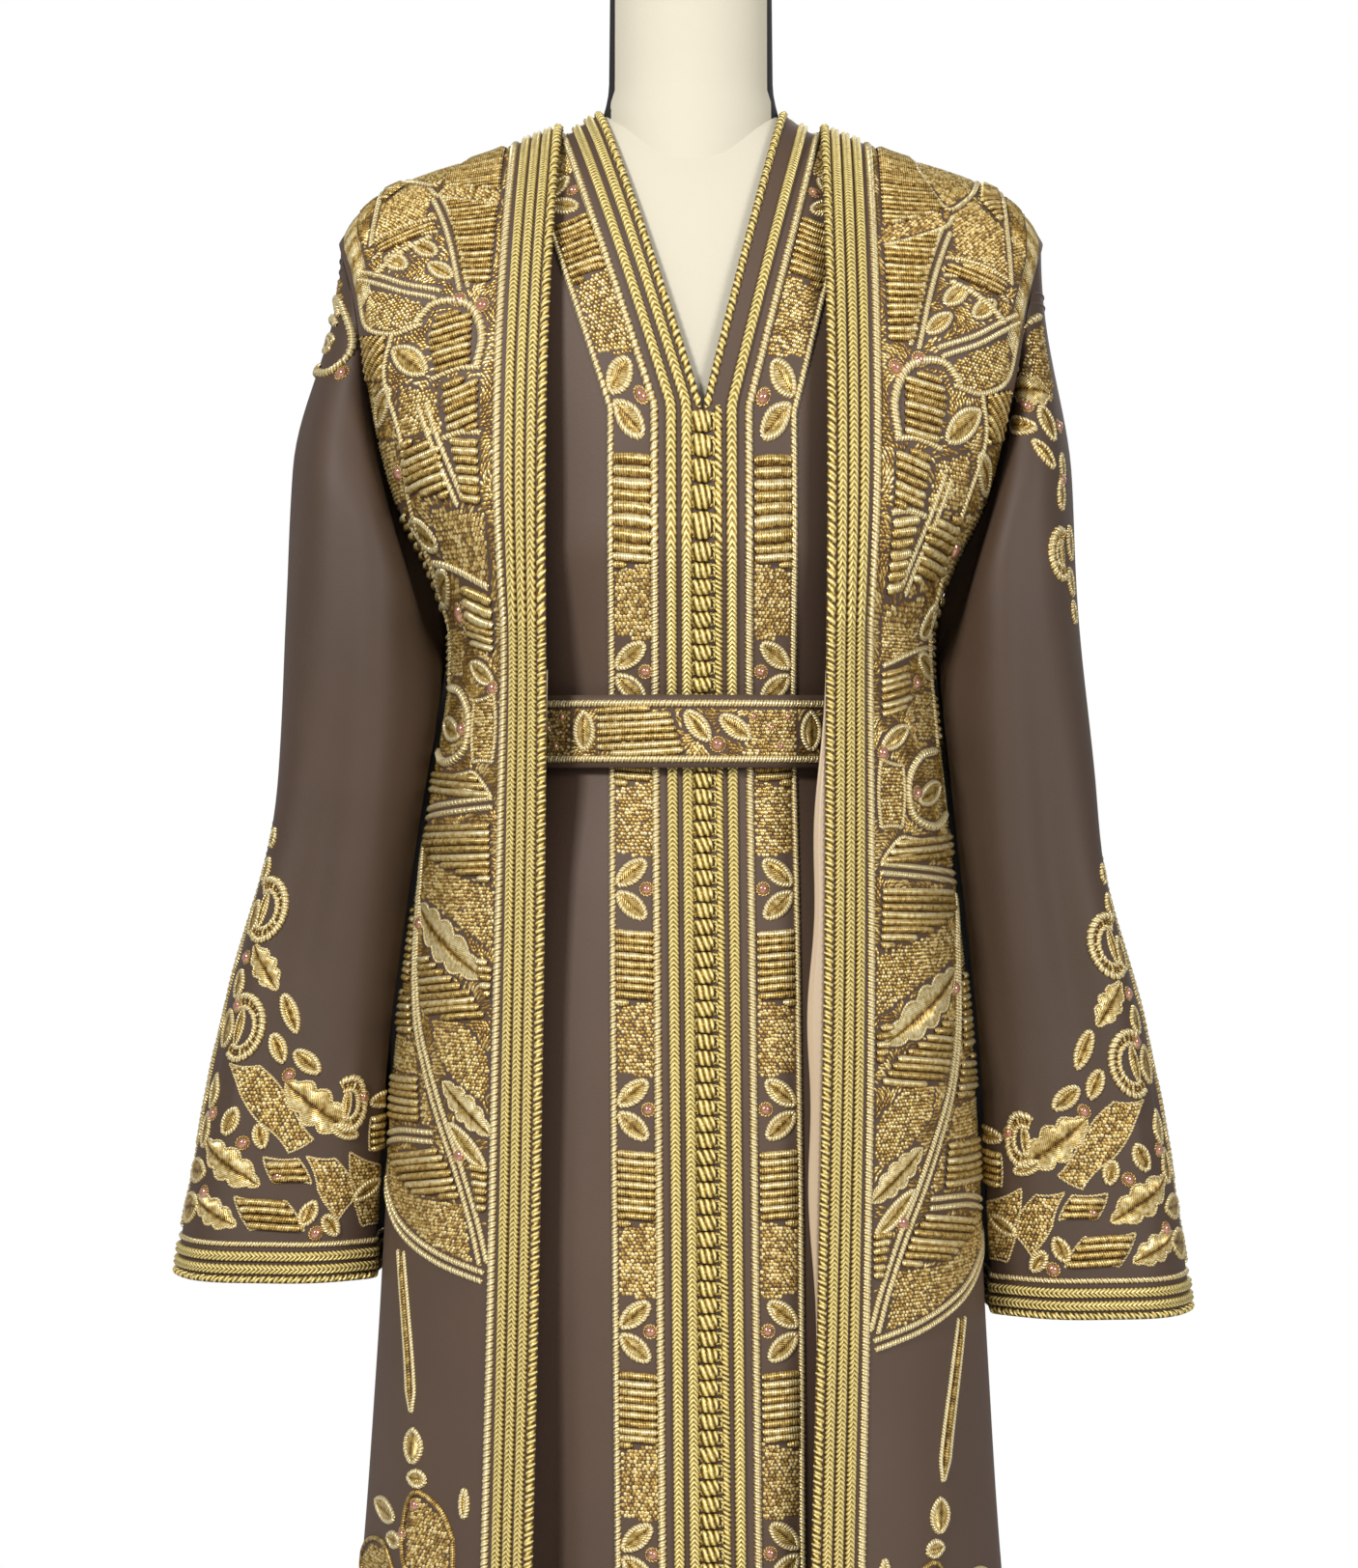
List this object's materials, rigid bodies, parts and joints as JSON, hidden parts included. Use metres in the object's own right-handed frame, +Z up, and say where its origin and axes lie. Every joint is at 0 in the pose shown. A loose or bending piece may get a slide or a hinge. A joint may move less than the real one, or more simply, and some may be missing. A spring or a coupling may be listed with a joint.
{
  "type": "takchita on a dress form",
  "caption": "Two-layer Moroccan gown: belted sleeveless dress under an open embroidered robe with wide sleeves, on a limbless dress form with a round stand.",
  "frame": {"origin": "centre of the stand's round foot, on the floor", "axes": "+Z up, the front faces -Y, and +X is the wearer's left side"},
  "size_m": [0.6909, 0.4204, 1.6136],
  "materials": {
    "cloth": "matt taupe-brown crepe with a soft sheen at the folds",
    "braid": "yellow-gold thread, plaited in herringbone braids and knotted buttons",
    "embroidery": "raised couched thread in pale gold and amber, with faceted copper-pink beads",
    "satin": "champagne satin with a soft gloss",
    "linen": "plain cream linen, undyed and matt",
    "black": "smooth matt black",
    "pole": "satin steel tube"
  },
  "bodies": {
    "root": {"dress_front_right": "cloth", "dress_front_left": "cloth", "dress_back": "cloth", "dress_braid_right": "braid", "dress_braid_left": "braid", "dress_band_right": "embroidery", "dress_band_left": "embroidery", "dress_back_neck": "braid", "dress_buttons": "braid", "belt": "embroidery", "robe_front_right": "cloth", "robe_front_left": "cloth", "robe_back": "cloth", "robe_sleeve_right": "cloth", "robe_sleeve_left": "cloth", "robe_braid_right": "braid", "robe_braid_left": "braid", "robe_back_neck": "braid", "robe_facing_right": "satin", "robe_facing_left": "satin", "robe_cuff_braid_right": "braid", "robe_cuff_braid_left": "braid", "form_torso": "linen", "form_neck_cap": "black", "stand_pole": "pole", "stand_foot": "black"}
  },
  "joints": []
}
